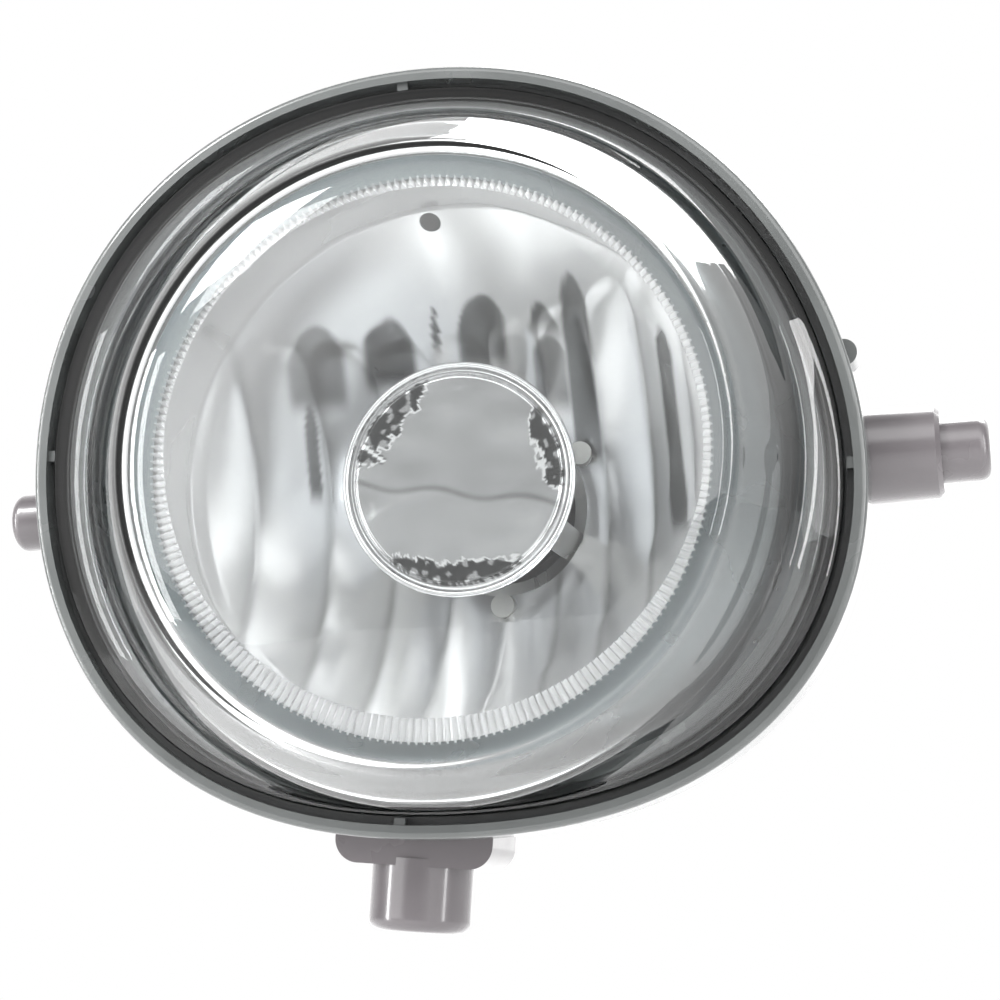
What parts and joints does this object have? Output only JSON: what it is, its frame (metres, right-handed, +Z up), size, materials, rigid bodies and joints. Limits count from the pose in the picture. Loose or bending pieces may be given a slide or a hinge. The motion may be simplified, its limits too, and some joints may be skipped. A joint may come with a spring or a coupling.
{
  "type": "fog light",
  "caption": "Round front fog lamp: clear bulging lens in a dark housing, fluted metallised reflector, bulb shield, twist-lock bulb and two aiming pivots.",
  "frame": {"origin": "middle of the right-hand pivot pin, on the aiming axis", "axes": "+X to the right seen from the front, along the aiming axis; +Y to the rear along the optical axis; +Z up"},
  "size_m": [0.1293, 0.0868, 0.1105],
  "materials": {
    "housing": "dark grey moulded plastic, satin gloss",
    "lens_clear": "clear moulded lens",
    "sealant": "black sealant bead",
    "reflector_metal": "vacuum metallised, fluted",
    "bezel_metal": "metallised, softly grained",
    "shield_chrome": "polished, slightly wavy",
    "bracket_steel": "stamped steel",
    "screw_steel": "zinc plated steel",
    "bulb_clear": "clear quartz glass",
    "tip_black": "opaque black heat-proof coat",
    "filament": "drawn tungsten",
    "connector": "black glass-filled plastic",
    "terminal": "tinned brass",
    "seal_rubber": "red-brown silicone rubber",
    "pivot_plastic": "dark plum-grey, glossy",
    "insert_brass": "turned brass",
    "cap_rubber": "black rubber",
    "membrane": "white breather membrane"
  },
  "bodies": {
    "lamp": {"housing_shell": "housing", "lens": "lens_clear", "lens_seal": "sealant", "reflector": "reflector_metal", "reflector_screws": "screw_steel", "reflector_bezel": "bezel_metal", "bulb_shield_cap": "shield_chrome", "shield_bracket": "bracket_steel", "shield_rivets": "screw_steel", "pivot_pin_right": "pivot_plastic", "pivot_pin_left": "pivot_plastic", "aim_post": "pivot_plastic", "aim_insert": "insert_brass", "vent_cap": "cap_rubber", "vent_membrane": "membrane"},
    "bulb": {"bulb_glass": "bulb_clear", "bulb_tip_coating": "tip_black", "bulb_filament": "filament", "bulb_lead_wires": "filament", "bulb_collar": "bracket_steel", "bulb_base": "connector", "bulb_terminals": "terminal", "bulb_o_ring": "seal_rubber"}
  },
  "joints": [
    {"name": "bulb_twist", "type": "hinge", "parent": "lamp", "child": "bulb", "pos_m": [-0.063, 0.0365, 0], "axis": [0, 1, 0], "range_deg": [0, 40]}
  ]
}
